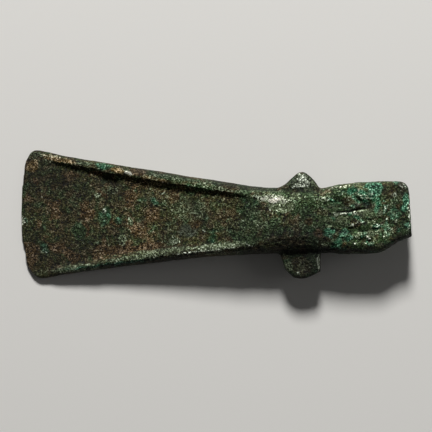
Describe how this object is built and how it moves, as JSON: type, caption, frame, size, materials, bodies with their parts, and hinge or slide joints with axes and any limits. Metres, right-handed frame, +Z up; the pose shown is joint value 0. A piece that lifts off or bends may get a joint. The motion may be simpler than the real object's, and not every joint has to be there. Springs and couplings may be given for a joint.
{
  "type": "axe head",
  "caption": "Cast bronze trunnion axe head: flared blade with raised flanges along both sides, thick neck with a lug on each side, and a flat grooved butt for the haft.",
  "frame": {"origin": "centre of the bounding box's base: under the middle of the axe, on the ground it lies on", "axes": "+X along the axe from the cutting edge to the butt, +Y across it towards the worn lug, +Z up through its thickness, as it lies flat on its back face"},
  "size_m": [0.1682, 0.0556, 0.0179],
  "materials": {
    "bronze": "corroded dark green and brown patina"
  },
  "bodies": {
    "root": {"axe_head": "bronze"}
  },
  "joints": []
}
